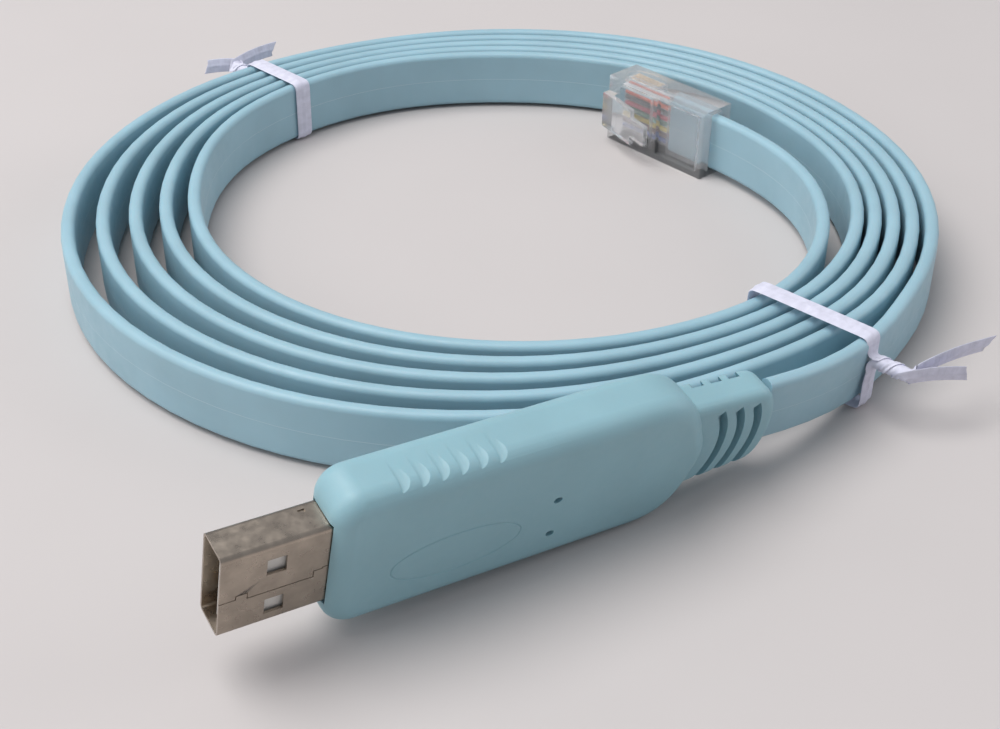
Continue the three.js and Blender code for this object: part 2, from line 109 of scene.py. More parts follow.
# USB plug: +X from the shell's mouth to the cable, +Z up, the seamed wide face looks along -Y
HOUSING_LENGTH = 50.0
HOUSING_HEIGHT = 19.6
HOUSING_THICKNESS = 7.7
HOUSING_EDGE = 2.3
HOUSING_FRONT_CORNER = 3.4
HOUSING_REAR_BULGE = 3.4
HOUSING_REAR_CORNER = 6.6
RELIEF_LENGTH = 10.3
RELIEF_START_HEIGHT = 13.6
RELIEF_END_HEIGHT = 11.8
RELIEF_THICKNESS = 5.2
RELIEF_EDGE = 1.3
RELIEF_CORNER = 2.2
RELIEF_END_BULGE = 1.8
RELIEF_OVERLAP = 4.0
SHELL_WIDTH = 12.0
SHELL_THICKNESS = 4.5
SHELL_SHEET = 0.3
SHELL_CORNER = 0.7
SHELL_EXPOSED = 12.0
SHELL_INSERTED = 4.0
USB_LEAN = 11
USB_TILT = 3.4
USB_HEIGHT = 8.694
HOUSING_REAR = -RELIEF_LENGTH
HOUSING_FRONT = HOUSING_REAR - HOUSING_LENGTH
SHELL_MOUTH = HOUSING_FRONT - SHELL_EXPOSED

# Grip grooves, as steps along the housing and the height of the cutter there
GRIPS = 6
GRIP_START = 7.3
GRIP_PITCH = 2.35
GRIP_TILT = 9
GRIP_MIDDLE = 1.3
GRIP_CUTTER_START = -8.0
GRIP_CUTTER_LENGTH = 12.0
GRIP_PROFILE = [(0, 0), (0.35, 0.04), (0.8, 0.17), (1.25, 0.42), (1.8, 0.9), (-0.1, 0.9)]

# Arched slots of the strain relief
SLOTS = 3
SLOT_START = 1.9
SLOT_PITCH = 2.6
SLOT_RADIUS = 9.0
SLOT_WIDTH = 1.2
SLOT_DEPTH = 1.5
SLOT_BELOW_TOP = 1.9
SLOT_PAST_BOTTOM = 0.4
SLOT_CUTTER = 5.0

# Two blind holes and the oval line on the housing's wide face
HOLE_RADIUS = 0.45
HOLE_STRETCH = 1.3
HOLE_PLACE = -32.5
HOLE_HEIGHTS = (0.4, -5.1)
OVAL_MIDDLE = -45.1
OVAL_HEIGHT = -2.6
OVAL_HALF_LENGTH = 8.2
OVAL_HALF_HEIGHT = 3.0
OVAL_STEPS = 72
OVAL_GROOVE = [(-0.1, 0), (0, -0.12), (0.1, 0), (0, 0.12)]

# The shell's windows, its folded seam with the dovetail, and its dimples
WINDOW_LENGTH = 2.2
WINDOW_WIDTH = 2.3
WINDOW_FROM_MOUTH = 6.2
WINDOW_HEIGHTS = (2.75, -3.35)
SEAM_WIDTH = 0.11
SEAM_CUTTER = 0.3
SEAM_POINTS = [(-72.4, -0.7), (-70.5, -0.7), (-70.5, -0.15), (-69.2, -0.15), (-69.2, -1.0),
               (-61.8, -1.0), (-61.8, -0.1), (-60.8, -0.1), (-60.8, 0.1), (-56.2, 0.1)]
DIMPLE = (0.8, 0.4, 0.3)
DIMPLE_PLACE = -62.2
DIMPLE_SIDE = 1.0

# Twist ties
TIE_WIDTH = 3.0
TIE_THICKNESS = 0.35
TIE_CLEARANCE = 0.15
TIE_CORNER = 0.9
TIE_OFF_FLOOR = 0.12
TIE_DRIFT = 0.1
TIE_SHARE_AT_KNOT = 0.95
TIE_EDGE_ROUND = 0.15
TIE_EDGE_HALF = 0.13
TIE_RIDGE_HALF = 0.26
TIE_RIDGE_SHOULDER = 0.28
TIE_RIDGE_FOOT = 0.6
ABOVE_KNOT = 1.4
BELOW_KNOT = 1.2
KNOT_STAND_OFF = 0.5
KNOT_LENGTH = 5.0
KNOT_RADIUS = 0.75
KNOT_TURNS = 1.25
KNOT_STEPS = 24
KNOT_STRIP_SHARE = 0.8
TAIL_STEPS = (22, 18)


# Route of the cable
def round_the_coil(values, angle):
    """A value at an angle, from values spaced evenly round the circle"""
    place = (angle % 360) / 360 * len(values)
    index = int(place)
    t = place - index
    before, here, there, beyond = (values[(index + k) % len(values)] for k in (-1, 0, 1, 2))
    rise_here = 0.5 * (there - before)
    rise_there = 0.5 * (beyond - here)
    return ((2 * t**3 - 3 * t**2 + 1) * here + (t**3 - 2 * t**2 + t) * rise_here
            + (3 * t**2 - 2 * t**3) * there + (t**3 - t**2) * rise_there)


def settle(distance, stretch, slope):
    """Grows from 0 to 1 over the last stretch before an end of the route"""
    t = min(max(1 - distance / stretch, 0), 1)
    return t**2 * (3 - 2 * t) - slope * t**2 * (1 - t)


def coil_point(angle_turned):
    """A point of the cable's middle line about the coil's centre, in millimetres"""
    angle = PLUG_ANGLE - angle_turned
    turn = angle_turned / 360
    gap = round_the_coil(TURN_GAP, angle)
    left = TURNED - angle_turned
    radius = (round_the_coil(CORE_RADIUS, angle) + (CABLE_THICKNESS + gap) * turn
              - SWAY * gap / max(TURN_GAP) * math.sin(math.pi * turn / LAPS)
              - PLUG_RUN_IN * settle(angle_turned, PLUG_RUN_IN_ANGLE, 1)
              + USB_FLARE * settle(left, USB_FLARE_ANGLE, USB_FLARE_STEADINESS))
    height = (CABLE_MIDDLE + (RJ_WIDTH / 2 - CABLE_MIDDLE) * settle(angle_turned, PLUG_RUN_IN_ANGLE, 0)
              + (USB_HEIGHT - CABLE_MIDDLE) * settle(left, USB_RISE_ANGLE, 1))
    turned_to = math.radians(angle)
    return Vector((radius * math.cos(turned_to), radius * math.sin(turned_to), height))


def level(vector):
    """The vector without its height, one long"""
    return Vector((vector.x, vector.y, 0)).normalized()


# The cable's two ends, and the way it points there, from a point a small turn before each end
PLUG_END_STEP = 1
USB_END_STEP = 0.2
plug_end = coil_point(0)
into_plug = level(plug_end - coil_point(PLUG_END_STEP))
usb_end = coil_point(TURNED)
into_usb = usb_end - coil_point(TURNED - USB_END_STEP)

# The wires' middle in the frame tells where the coil's centre is
low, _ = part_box("rj45_wire_1")
_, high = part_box("rj45_wire_8")
wires_middle = (low + high) / 2 / MM
wires_ahead = RJ_JACKET_LENGTH + RJ_WIRE_LENGTH / 2
coil_centre = wires_middle - (plug_end + into_plug * wires_ahead)
coil_centre.z = 0

in_metres = Matrix.Scale(MM, 4)
coil_place = in_metres @ Matrix.Translation(coil_centre)
rj_place = coil_place @ Matrix.Translation(plug_end) @ Matrix.Rotation(
    math.atan2(into_plug.y, into_plug.x), 4, "Z")
usb_heading = math.atan2(-into_usb.y, -into_usb.x)
usb_place = (
    coil_place
    @ Matrix.Translation(usb_end + level(into_usb) * FIT_GAP)
    @ Matrix.Rotation(usb_heading, 4, "Z")
    @ Matrix.Rotation(math.radians(USB_TILT), 4, "Y")
    @ Matrix.Rotation(math.radians(USB_LEAN), 4, "X")
)


# Camera
def photo_camera():
    """Stands where the photograph was taken from, in front of and above the coil"""
    data = bpy.data.cameras.new("photo_camera")
    camera = bpy.data.objects.new("photo_camera", data)
    bpy.context.scene.collection.objects.link(camera)
    place = Vector((-0.068, -197.082, 121.451)) * MM
    looking_at = Vector((-0.068, -16.976, 0)) * MM
    roll = math.radians(0.434)
    forward = (looking_at - place).normalized()
    right = forward.cross(Vector((0, 0, 1))).normalized()
    up = right.cross(forward)
    across = right * math.cos(roll) + up * math.sin(roll)
    upright = up * math.cos(roll) - right * math.sin(roll)
    turn = Matrix((across, upright, -forward)).transposed().to_4x4()
    camera.matrix_world = Matrix.Translation(place) @ turn
    data.lens = 56.85
    data.sensor_width = 36
    data.clip_start = 0.005
    data.clip_end = 20
    bpy.context.scene.camera = camera


photo_camera()


# Ways of making
def only(piece):
    """Leaves one piece selected and active"""
    if bpy.context.object and bpy.context.object.mode != "OBJECT":
        bpy.ops.object.mode_set(mode="OBJECT")
    bpy.ops.object.select_all(action="DESELECT")
    if piece:
        piece.select_set(True)
        bpy.context.view_layer.objects.active = piece


def added(name):
    """The primitive that was just added, its place moved into its mesh"""
    piece = bpy.context.object
    piece.name = name
    piece.data.name = name
    bpy.ops.object.transform_apply(location=True, rotation=True, scale=True)
    return piece


def modified(piece, kind, **settings):
    """Adds a modifier, sets it and applies it"""
    only(piece)
    modifier = piece.modifiers.new(kind, kind)
    for name, value in settings.items():
        setattr(modifier, name, value)
    bpy.ops.object.modifier_apply(modifier=modifier.name)
    return piece


def bevelled(piece, width, segments, angle=50):
    return modified(piece, "BEVEL", width=width, segments=segments, limit_method="ANGLE",
                    angle_limit=math.radians(angle))


def combined(piece, others, operation):
    """Carves the others out of a piece, or joins them to it as one body"""
    for other in others:
        modified(piece, "BOOLEAN", object=other, operation=operation, solver="EXACT")
        bpy.data.objects.remove(other)
    return piece


def gathered(pieces):
    """Several cutters that don't touch as one mesh"""
    only(pieces[0])
    for piece in pieces:
        piece.select_set(True)
    if len(pieces) > 1:
        bpy.ops.object.join()
    return pieces[0]


def prism(name, corners, along):
    """A flat outline pushed out along a vector"""
    only(None)
    bpy.ops.mesh.primitive_circle_add(vertices=len(corners), fill_type="NGON")
    piece = added(name)
    for vertex, corner in zip(piece.data.vertices, corners):
        vertex.co = corner
    bpy.ops.object.mode_set(mode="EDIT")
    bpy.ops.mesh.select_all(action="SELECT")
    bpy.ops.mesh.extrude_region_move(TRANSFORM_OT_translate={"value": along})
    bpy.ops.mesh.select_all(action="SELECT")
    bpy.ops.mesh.normals_make_consistent(inside=False)
    bpy.ops.object.mode_set(mode="OBJECT")
    return piece


def block(name, size, middle):
    """A box by its size and middle"""
    only(None)
    bpy.ops.mesh.primitive_cube_add(size=1, location=middle, scale=size)
    return added(name)


def smoothed(piece, angle=35):
    only(piece)
    bpy.ops.object.shade_smooth_by_angle(angle=math.radians(angle))
    return modified(piece, "WEIGHTED_NORMAL", keep_sharp=True)


def arc(centre, radius, start, end, steps):
    """Points of an arc in a flat outline, angles in degrees"""
    angles = [math.radians(start + (end - start) * i / steps) for i in range(steps + 1)]
    return [(centre[0] + radius * math.cos(a), centre[1] + radius * math.sin(a)) for a in angles]


def rounded_box_outline(across, up, radius, steps=5):
    """A rectangle with round corners, centred, anticlockwise from its lower right"""
    x = across / 2 - radius
    y = up / 2 - radius
    corners = [(x, -y, -90), (x, y, 0), (-x, y, 90), (-x, -y, 180)]
    return [point for cx, cy, start in corners for point in arc((cx, cy), radius, start, start + 90, steps)]


def curve_between(start, pull, end, steps):
    """Points of a curve that leaves start and reaches end both heading for pull"""
    points = []
    for i in range(steps + 1):
        t = i / steps
        points.append(tuple(
            (1 - t)**2 * a + 2 * t * (1 - t) * b + t**2 * c for a, b, c in zip(start, pull, end)))
    return points


def swept(name, places, acrosses, outline, scales=None, slants=None, closed=False):
    """A strip whose outline, drawn across it and out of it, is carried along its places.
    Its UV map runs in millimetres along it, and from 0 to 1 round its outline."""
    count = len(places)
    sides = len(outline)
    vertices = []
    distance = [0.0]
    for i in range(count):
        before = places[i - 1] if (i or closed) else places[0]
        after = places[(i + 1) % count] if (i < count - 1 or closed) else places[-1]
        along = (after - before).normalized()
        across = (acrosses[i] - along * acrosses[i].dot(along)).normalized()
        out = along.cross(across)
        scale = scales[i] if scales is not None else 1
        slant = slants[i] if slants is not None else 0
        for a, b in outline:
            vertices.append(places[i] + across * a * scale + out * b + along * a * scale * slant)
        if i:
            distance.append(distance[-1] + (places[i] - places[i - 1]).length)
    faces = []
    spans = count if closed else count - 1
    for i in range(spans):
        for j in range(sides):
            here = i * sides + j
            beside = i * sides + (j + 1) % sides
            ahead = ((i + 1) % count) * sides
            faces.append((here, beside, ahead + (j + 1) % sides, ahead + j))
    if not closed:
        faces.append(tuple(range(sides))[::-1])
        faces.append(tuple(range((count - 1) * sides, count * sides)))
    data = bpy.data.meshes.new(name)
    data.from_pydata([tuple(v) for v in vertices], [], faces)
    layer = data.uv_layers.new(name="strip")
    for face in data.polygons:
        for loop, vertex in zip(face.loop_indices, face.vertices):
            wraps = vertex % sides == 0 and any(v % sides == sides - 1 for v in face.vertices)
            share = 1.0 if wraps else (vertex % sides) / sides
            layer.data[loop].uv = (distance[vertex // sides], share)
    piece = bpy.data.objects.new(name, data)
    bpy.context.scene.collection.objects.link(piece)
    only(piece)
    bpy.ops.object.mode_set(mode="EDIT")
    bpy.ops.mesh.select_all(action="SELECT")
    bpy.ops.mesh.normals_make_consistent(inside=False)
    bpy.ops.object.mode_set(mode="OBJECT")
    return piece


def set_in_place(piece, place, finish, nodes=()):
    """Moves a finished piece from its own millimetres to its place in metres"""
    piece.data.transform(place)
    piece.data.update()
    piece.data.materials.clear()
    piece.data.materials.append(finish)
    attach(piece, "root")
    if nodes:
        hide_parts(*nodes)
    return piece


# Finishes
class Finish:
    """A material whose colour, roughness and bump are built from procedural patterns"""

    def __init__(self, name, colour, roughness, metallic=0.0):
        self.material = bpy.data.materials.new(name)
        self.material.use_nodes = True
        self.nodes = self.material.node_tree.nodes
        self.links = self.material.node_tree.links
        self.shader = self.nodes["Principled BSDF"]
        self.shader.inputs["Base Color"].default_value = (*colour, 1)
        self.shader.inputs["Roughness"].default_value = roughness
        self.shader.inputs["Metallic"].default_value = metallic
        self.colour = colour
        self.where = self.nodes.new("ShaderNodeTexCoord")

    def noise(self, scale, detail=3.0, stretch=(1, 1, 1), follow="Object"):
        """Soft random pattern with that many grains a metre, or a millimetre on a strip's UV map"""
        mapping = self.nodes.new("ShaderNodeMapping")
        mapping.inputs["Scale"].default_value = stretch
        self.links.new(self.where.outputs[follow], mapping.inputs["Vector"])
        noise = self.nodes.new("ShaderNodeTexNoise")
        noise.inputs["Scale"].default_value = scale
        noise.inputs["Detail"].default_value = detail
        self.links.new(mapping.outputs["Vector"], noise.inputs["Vector"])
        return noise.outputs["Fac"]

    def ramp(self, factor, stops):
        """Turns a pattern's value into colours"""
        ramp = self.nodes.new("ShaderNodeValToRGB")
        elements = ramp.color_ramp.elements
        while len(elements) < len(stops):
            elements.new(0.5)
        for element, (place, colour) in zip(elements, stops):
            element.position = place
            element.color = (*colour, 1)
        self.links.new(factor, ramp.inputs["Fac"])
        return ramp.outputs["Color"]

    def between(self, factor, low, high, start=0.3, end=0.7):
        """Spreads a pattern's value between two numbers"""
        spread = self.nodes.new("ShaderNodeMapRange")
        spread.inputs["From Min"].default_value = start
        spread.inputs["From Max"].default_value = end
        spread.inputs["To Min"].default_value = low
        spread.inputs["To Max"].default_value = high
        self.links.new(factor, spread.inputs["Value"])
        return spread.outputs["Result"]

    def tint(self, factor, amount, line=None):
        """Varies the base colour, lighter and darker by the amount, and lightens a line on it"""
        darker = tuple(c * (1 - amount) for c in self.colour)
        lighter = tuple(min(c * (1 + amount), 1) for c in self.colour)
        varied = self.ramp(factor, [(0.3, darker), (0.7, lighter)])
        if line is not None:
            pale = tuple(c + (1 - c) * 0.2 for c in self.colour)
            mix = self.nodes.new("ShaderNodeMixRGB")
            mix.inputs["Color2"].default_value = (*pale, 1)
            self.links.new(line, mix.inputs["Fac"])
            self.links.new(varied, mix.inputs["Color1"])
            varied = mix.outputs["Color"]
        self.links.new(varied, self.shader.inputs["Base Color"])

    def rough(self, factor, low, high):
        self.links.new(self.between(factor, low, high), self.shader.inputs["Roughness"])

    def bump(self, factor, depth, strength=1.0, under=None):
        """Raises the surface by a pattern, depth in metres"""
        bump = self.nodes.new("ShaderNodeBump")
        bump.inputs["Distance"].default_value = depth
        bump.inputs["Strength"].default_value = strength
        self.links.new(factor, bump.inputs["Height"])
        if under is not None:
            self.links.new(under, bump.inputs["Normal"])
        self.links.new(bump.outputs["Normal"], self.shader.inputs["Normal"])
        return bump.outputs["Normal"]


def parting_line(finish, shares, half):
    """1 on thin lines along a strip, at those shares of the way round its outline"""
    split = finish.nodes.new("ShaderNodeSeparateXYZ")
    finish.links.new(finish.where.outputs["UV"], split.inputs["Vector"])
    lines = []
    for share in shares:
        near = finish.nodes.new("ShaderNodeMath")
        near.operation = "COMPARE"
        near.inputs[1].default_value = share
        near.inputs[2].default_value = half
        finish.links.new(split.outputs["Y"], near.inputs[0])
        lines.append(near.outputs["Value"])
    both = finish.nodes.new("ShaderNodeMath")
    both.operation = "MAXIMUM"
    finish.links.new(lines[0], both.inputs[0])
    finish.links.new(lines[1], both.inputs[1])
    return both.outputs["Value"]


def cable_jacket(line_shares):
    """Extruded soft PVC: satin, with faint streaks along the cable and a fine light parting line"""
    finish = Finish("cable_jacket", (0.31, 0.49, 0.57), 0.45)
    line = parting_line(finish, line_shares, PARTING_LINE_SHARE)
    finish.tint(finish.noise(90, 3), 0.05, line=line)
    finish.rough(finish.noise(600, 4), 0.38, 0.55)
    streaks = finish.noise(0.9, 4, stretch=(0.05, 60, 1), follow="UV")
    grain = finish.bump(streaks, 0.00002, 0.35)
    raised = finish.bump(line, 0.00003, 0.5, under=grain)
    finish.bump(finish.noise(4000, 2), 0.000012, 0.4, under=raised)
    finish.shader.inputs["Subsurface Weight"].default_value = 0.12
    finish.shader.inputs["Subsurface Radius"].default_value = (0.25, 0.7, 1.0)
    finish.shader.inputs["Subsurface Scale"].default_value = 0.001
    return finish.material


def moulded_housing():
    """Moulded PVC with a fine eroded texture"""
    finish = Finish("moulded_housing", (0.27, 0.46, 0.52), 0.5)
    finish.tint(finish.noise(70, 3), 0.05)
    finish.rough(finish.noise(900, 4), 0.42, 0.58)
    broad = finish.bump(finish.noise(260, 2), 0.00004, 0.25)
    finish.bump(finish.noise(5200, 3), 0.000015, 0.5, under=broad)
    finish.shader.inputs["Subsurface Weight"].default_value = 0.12
    finish.shader.inputs["Subsurface Radius"].default_value = (0.25, 0.7, 1.0)
    finish.shader.inputs["Subsurface Scale"].default_value = 0.001
    return finish.material


def plated_shell():
    """Nickel-plated steel, handled and slightly mottled"""
    finish = Finish("plated_shell", (0.42, 0.36, 0.3), 0.32, metallic=1.0)
    finish.tint(finish.noise(420, 6), 0.14)
    finish.rough(finish.noise(900, 5), 0.24, 0.4)
    finish.bump(finish.noise(1800, 5, stretch=(1, 1, 0.35)), 0.00001, 0.2)
    return finish.material


def white_insulator():
    finish = Finish("white_insulator", (0.72, 0.7, 0.66), 0.55)
    finish.tint(finish.noise(500, 3), 0.06)
    finish.bump(finish.noise(3500, 3), 0.00001, 0.4)
    return finish.material


def gold_plate():
    finish = Finish("gold_plate", (0.83, 0.58, 0.24), 0.24, metallic=1.0)
    finish.tint(finish.noise(900, 4), 0.08)
    finish.rough(finish.noise(2500, 4), 0.16, 0.34)
    return finish.material


def clear_plastic():
    """Clear polycarbonate, with the faint ripple of its mould"""
    finish = Finish("clear_plastic", (0.97, 0.97, 0.98), 0.06)
    finish.shader.inputs["Transmission Weight"].default_value = 0.84
    finish.shader.inputs["IOR"].default_value = 1.16
    finish.shader.inputs["Coat Weight"].default_value = 0.6
    finish.shader.inputs["Coat Roughness"].default_value = 0.05
    finish.rough(finish.noise(700, 3), 0.03, 0.12)
    finish.bump(finish.noise(350, 3), 0.00006, 0.25)
    return finish.material


def paper_tie():
    """Coated paper over a wire, creased across where it was twisted"""
    finish = Finish("paper_tie", (0.66, 0.66, 0.78), 0.6)
    finish.tint(finish.noise(0.9, 5, stretch=(1, 4, 1), follow="UV"), 0.1)
    fibres = finish.bump(finish.noise(3.0, 6, stretch=(0.6, 8, 1), follow="UV"), 0.00005, 0.5)
    finish.bump(finish.noise(1.1, 2, stretch=(1, 0.4, 1), follow="UV"), 0.00018, 0.6, under=fibres)
    finish.shader.inputs["Subsurface Weight"].default_value = 0.1
    finish.shader.inputs["Subsurface Radius"].default_value = (1.0, 1.0, 1.0)
    finish.shader.inputs["Subsurface Scale"].default_value = 0.0006
    return finish.material


def wire_insulation(name, colour):
    """Thin glossy wire insulation"""
    finish = Finish(name, colour, 0.35)
    finish.tint(finish.noise(1200, 3), 0.12)
    finish.rough(finish.noise(2600, 3), 0.28, 0.45)
    return finish.material


# Flat cable
def cable_outline():
    """Outline across the cable's width and thickness, with enough points to lie smooth"""
    across = CABLE_WIDTH / 2 - CABLE_EDGE
    flat = [across * k / 3 for k in (2, 1, 0, -1, -2)]
    half = CABLE_THICKNESS / 2
    outline = []
    corners = [(across, half - CABLE_EDGE, 0), (-across, half - CABLE_EDGE, 90),
               (-across, CABLE_EDGE - half, 180), (across, CABLE_EDGE - half, 270)]
    for k, (x, y, start) in enumerate(corners):
        outline += arc((x, y), CABLE_EDGE, start, start + 90, 5)
        if k == 0:
            outline += [(x_flat, half) for x_flat in flat]
        if k == 2:
            outline += [(-x_flat, -half) for x_flat in flat]
    return outline


def cable_route():
    """Ring centres from inside the RJ45 plug to just inside the strain relief, and which way is up"""
    rings = round(TURNED / RING_STEP)
    places = [plug_end + into_plug * (RJ_JACKET_LENGTH * (1 - k / RINGS_IN_PLUG))
              for k in range(RINGS_IN_PLUG)]
    upward = [Vector((0, 0, 1))] * RINGS_IN_PLUG
    for k in range(rings + 1):
        turned = TURNED * k / rings
        place = coil_point(turned)
        lean = math.radians(USB_LEAN) * settle(TURNED - turned, USB_LEAN_ANGLE, 0)
        places.append(place)
        upward.append(Vector((0, 0, 1)) * math.cos(lean) + level(place) * math.sin(lean))
    places.append(usb_end + into_usb.normalized() * INTO_RELIEF)
    upward.append(upward[-1])
    return places, upward


cable_places, cable_upward = cable_route()
jacket_outline = cable_outline()
cable = swept("flat_cable_jacket", cable_places, cable_upward, jacket_outline)
smoothed(cable, 40)
# The middles of the two wide faces, as shares of the way round the outline
wide_middles = [k / len(jacket_outline) for k, (across, _) in enumerate(jacket_outline) if across == 0]
set_in_place(cable, coil_place, cable_jacket(wide_middles), ["flat_cable"])


# USB plug
def housing_outline():
    top = HOUSING_HEIGHT / 2
    front = HOUSING_FRONT
    corner = HOUSING_FRONT_CORNER
    rear_corner = (HOUSING_REAR - HOUSING_REAR_BULGE / 2, top - HOUSING_REAR_CORNER)
    straight_end = HOUSING_REAR - HOUSING_REAR_BULGE - HOUSING_REAR_CORNER
    upper = arc((front + corner, top - corner), corner, 180, 90, 8)
    upper += curve_between(
        (straight_end, top), (HOUSING_REAR - HOUSING_REAR_BULGE, top), rear_corner, 10)
    rear = curve_between(rear_corner, (HOUSING_REAR, 0), (rear_corner[0], -rear_corner[1]), 12)
    lower = [(x, -z) for x, z in reversed(upper)]
    return upper + rear[1:-1] + lower


def relief_outline():
    start = HOUSING_REAR - HOUSING_REAR_BULGE - RELIEF_OVERLAP
    end = RELIEF_END_HEIGHT / 2
    bulge = RELIEF_END_BULGE
    upper = [(start, RELIEF_START_HEIGHT / 2)]
    upper += curve_between((-bulge - RELIEF_CORNER, end), (-bulge, end), (-bulge / 2, end - RELIEF_CORNER), 6)
    rear = curve_between(upper[-1], (bulge / 4, 0), (upper[-1][0], -upper[-1][1]), 8)
    return upper + rear[1:-1] + [(x, -z) for x, z in reversed(upper)]


def across_y(name, outline, thickness, middle=0.0):
    """A plate with its outline in X and Z"""
    corners = [(x, middle - thickness / 2, z) for x, z in outline]
    return prism(name, corners, (0, thickness, 0))


def grip_groove(index):
    """A groove with one steep wall, deepest where the narrow side rounds over to the wide face"""
    start = HOUSING_FRONT + GRIP_START + index * GRIP_PITCH
    corners = [(start + step, GRIP_CUTTER_START, height) for step, height in GRIP_PROFILE]
    cutter = prism("grip", corners, (0, GRIP_CUTTER_LENGTH, 0))
    tilt = Matrix.Rotation(math.radians(GRIP_TILT), 4, "X")
    begins = Matrix.Translation((0, GRIP_MIDDLE, HOUSING_HEIGHT / 2))
    cutter.data.transform(begins @ tilt)
    return cutter


def relief_slot(index):
    """An arched slot that runs out at the bottom edge"""
    middle = HOUSING_REAR + SLOT_START + index * SLOT_PITCH
    half = RELIEF_START_HEIGHT / 2 + (RELIEF_END_HEIGHT - RELIEF_START_HEIGHT) / 2 * (
        (middle - HOUSING_REAR) / RELIEF_LENGTH)
    closed = math.degrees(math.asin((half - SLOT_BELOW_TOP) / SLOT_RADIUS))
    opened = -math.degrees(math.asin((half + SLOT_PAST_BOTTOM) / SLOT_RADIUS))
    centre = (middle - SLOT_RADIUS, 0)
    outline = arc(centre, SLOT_RADIUS + SLOT_WIDTH / 2, opened, closed, 14)
    outline += arc(centre, SLOT_RADIUS - SLOT_WIDTH / 2, closed, opened, 14)
    return across_y("slot", outline, SLOT_CUTTER,
                    middle=-RELIEF_THICKNESS / 2 - SLOT_CUTTER / 2 + SLOT_DEPTH)


def turned_over(cutter):
    """The same cut on the other side of the plug"""
    copy = cutter.copy()
    copy.data = cutter.data.copy()
    bpy.context.scene.collection.objects.link(copy)
    copy.data.transform(Matrix.Rotation(math.pi, 4, "X"))
    return copy


def oval_line():
    """Cutter for the thin oval line round the bare panel on the wide face"""
    middle = Vector((OVAL_MIDDLE, -HOUSING_THICKNESS / 2, OVAL_HEIGHT))
    places = []
    for k in range(OVAL_STEPS):
        angle = 2 * math.pi * k / OVAL_STEPS
        places.append(middle + Vector((
            OVAL_HALF_LENGTH * math.cos(angle), 0, OVAL_HALF_HEIGHT * math.sin(angle))))
    acrosses = [Vector((0, 1, 0))] * OVAL_STEPS
    return swept("oval", places, acrosses, OVAL_GROOVE, closed=True)


def usb_housing():
    """Housing and strain relief as one moulding, with its grips, slots, holes, oval line and shell pocket"""
    body = bevelled(across_y("usb_plug_housing", housing_outline(), HOUSING_THICKNESS), HOUSING_EDGE, 8)
    relief = bevelled(across_y("relief", relief_outline(), RELIEF_THICKNESS), RELIEF_EDGE, 5)
    combined(body, [relief], "UNION")
    grips = [grip_groove(index) for index in range(GRIPS)]
    slots = [relief_slot(index) for index in range(SLOTS)]
    far_side = [turned_over(cutter) for cutter in grips + slots]
    pocket = block(
        "pocket", (2 * (SHELL_INSERTED + FIT_GAP), SHELL_THICKNESS + FIT_GAP, SHELL_WIDTH + FIT_GAP),
        (HOUSING_FRONT, 0, 0))
    holes = []
    for height in HOLE_HEIGHTS:
        only(None)
        bpy.ops.mesh.primitive_cylinder_add(
            vertices=20, radius=HOLE_RADIUS, depth=2, location=(HOLE_PLACE, -HOUSING_THICKNESS / 2, height),
            rotation=(math.pi / 2, 0, 0), scale=(HOLE_STRETCH, 1, 1))
        holes.append(added("hole"))
    combined(body, [gathered(grips + far_side[:GRIPS]), gathered(slots + far_side[GRIPS:]), pocket,
                    gathered(holes), oval_line()], "DIFFERENCE")
    return smoothed(body, 30)


def usb_shell():
    """Folded sheet with two windows each side, a dovetail seam and two punched dimples"""
    def tube(name, inset, start, length):
        outline = rounded_box_outline(
            SHELL_THICKNESS - 2 * inset, SHELL_WIDTH - 2 * inset, SHELL_CORNER - inset)
        return prism(name, [(start, y, z) for y, z in outline], (length, 0, 0))

    shell = tube("usb_plug_shell", 0, SHELL_MOUTH, SHELL_EXPOSED + SHELL_INSERTED)
    bore = tube("bore", SHELL_SHEET, SHELL_MOUTH - 1, SHELL_EXPOSED + SHELL_INSERTED + 2)
    combined(shell, [bore], "DIFFERENCE")
    near = -SHELL_THICKNESS / 2
    windows = [block("window", (WINDOW_LENGTH, 2 * SHELL_THICKNESS, WINDOW_WIDTH),
                     (SHELL_MOUTH + WINDOW_FROM_MOUTH, 0, height)) for height in WINDOW_HEIGHTS]
    seams = []
    for (x, z), (next_x, next_z) in zip(SEAM_POINTS, SEAM_POINTS[1:]):
        size = (abs(next_x - x) + SEAM_WIDTH, SEAM_CUTTER, abs(next_z - z) + SEAM_WIDTH)
        seams.append(block("seam", size, ((x + next_x) / 2, near, (z + next_z) / 2)))
    seam = seams[0]
    combined(seam, seams[1:], "UNION")
    dimples = []
    for side in (1, -1):
        place = (DIMPLE_PLACE, side * DIMPLE_SIDE, side * SHELL_WIDTH / 2)
        dimples.append(block("dimple", DIMPLE, place))
    combined(shell, [gathered(windows), seam, gathered(dimples)], "DIFFERENCE")
    bevelled(shell, 0.03, 2, angle=60)
    return smoothed(shell, 35)


set_in_place(usb_housing(), usb_place, moulded_housing(), ["usb_housing"])
set_in_place(usb_shell(), usb_place, plated_shell(), ["usb_shell"])


# RJ45 plug
def copy_of(node, name, place):
    """A merged copy of a CAD node in its plug's own millimetres"""
    piece = frame["nodes"][node].copy()
    piece.data = piece.data.copy()
    bpy.context.scene.collection.objects.link(piece)
    piece.parent = None
    piece.name = name
    piece.data.name = name
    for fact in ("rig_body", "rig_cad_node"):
        del piece[fact]
    piece.data.transform(place.inverted())
    only(piece)
    bpy.ops.object.mode_set(mode="EDIT")
    bpy.ops.mesh.select_all(action="SELECT")
    bpy.ops.mesh.remove_doubles(threshold=MERGE_DISTANCE)
    bpy.ops.mesh.dissolve_limited(angle_limit=math.radians(1))
    bpy.ops.object.mode_set(mode="OBJECT")
    return piece


